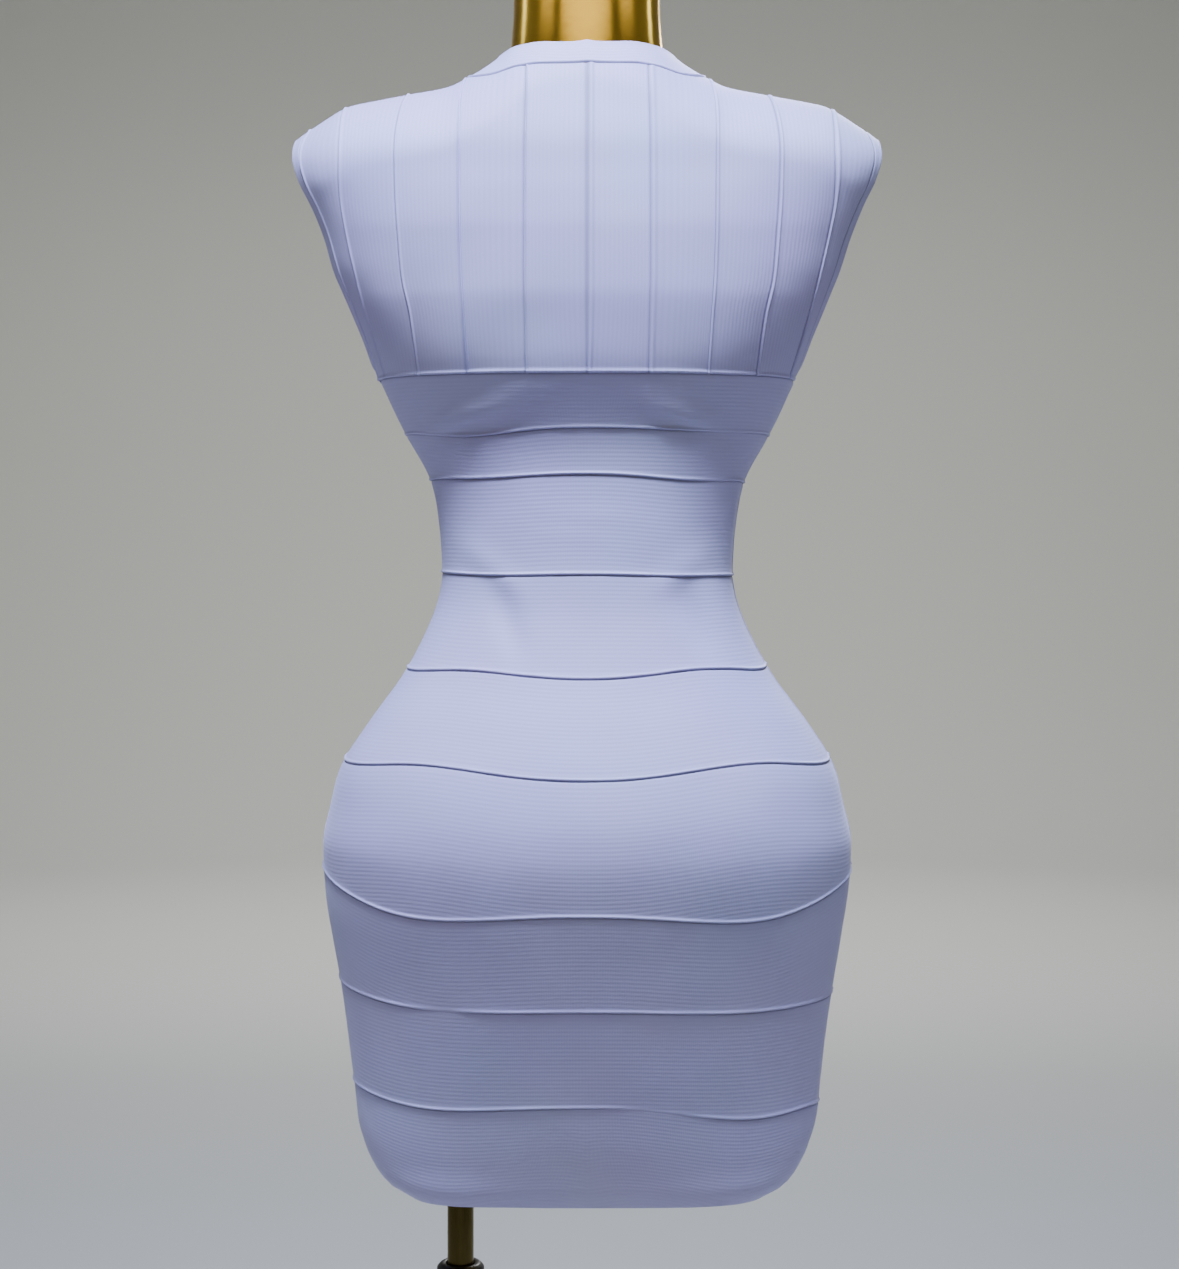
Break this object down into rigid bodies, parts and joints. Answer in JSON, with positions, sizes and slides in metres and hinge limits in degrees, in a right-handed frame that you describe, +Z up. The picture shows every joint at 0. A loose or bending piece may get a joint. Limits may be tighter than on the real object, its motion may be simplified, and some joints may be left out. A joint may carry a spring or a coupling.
{
  "type": "bodycon dress on a limbless dress form",
  "caption": "Sleeveless bandage-knit bodycon mini dress with extended cap shoulders, worn by a limbless dress form on an off-centre adjustable pole and round base.",
  "frame": {"origin": "on the floor, at the middle of the round base's underside, under the middle of the form", "axes": "+Z up; the dress faces -Y; +X is the wearer's left, the side of the pole"},
  "size_m": [0.4198, 0.38, 1.502],
  "materials": {
    "bandage_knit": "matte",
    "gold_lacquer": "gloss",
    "dark_brass": "gloss",
    "black_plastic": "satin"
  },
  "bodies": {
    "stand": {"base_plate": "dark_brass", "base_flange": "dark_brass", "pole_lower": "dark_brass", "pole_collar": "black_plastic", "collar_knob": "black_plastic"},
    "form": {"pole_upper": "dark_brass", "form_socket": "dark_brass", "form_torso": "gold_lacquer", "neckband": "bandage_knit", "armhole_band_left": "bandage_knit", "armhole_band_right": "bandage_knit", "back_strip_1_left": "bandage_knit", "back_strip_1_right": "bandage_knit", "front_strip_1_left": "bandage_knit", "front_strip_1_right": "bandage_knit", "back_strip_2_left": "bandage_knit", "back_strip_2_right": "bandage_knit", "front_strip_2_left": "bandage_knit", "front_strip_2_right": "bandage_knit", "back_strip_3_left": "bandage_knit", "back_strip_3_right": "bandage_knit", "front_strip_3_left": "bandage_knit", "front_strip_3_right": "bandage_knit", "back_strip_4_left": "bandage_knit", "back_strip_4_right": "bandage_knit", "front_strip_4_left": "bandage_knit", "front_strip_4_right": "bandage_knit", "back_strip_5_left": "bandage_knit", "back_strip_5_right": "bandage_knit", "front_strip_5_left": "bandage_knit", "front_strip_5_right": "bandage_knit", "band_1_back": "bandage_knit", "band_1_front": "bandage_knit", "band_2_back": "bandage_knit", "band_2_front": "bandage_knit", "band_3_back": "bandage_knit", "band_3_front": "bandage_knit", "band_4_back": "bandage_knit", "band_4_front": "bandage_knit", "band_5_back": "bandage_knit", "band_5_front": "bandage_knit", "band_6_back": "bandage_knit", "band_6_front": "bandage_knit", "band_7_back": "bandage_knit", "band_7_front": "bandage_knit", "band_8_back": "bandage_knit", "band_8_front": "bandage_knit", "band_9_back": "bandage_knit", "band_9_front": "bandage_knit"}
  },
  "joints": [
    {"name": "height_adjust", "type": "slide", "parent": "stand", "child": "form", "axis": [0, 0, 1], "range_m": [-0.05, 0.2]}
  ]
}
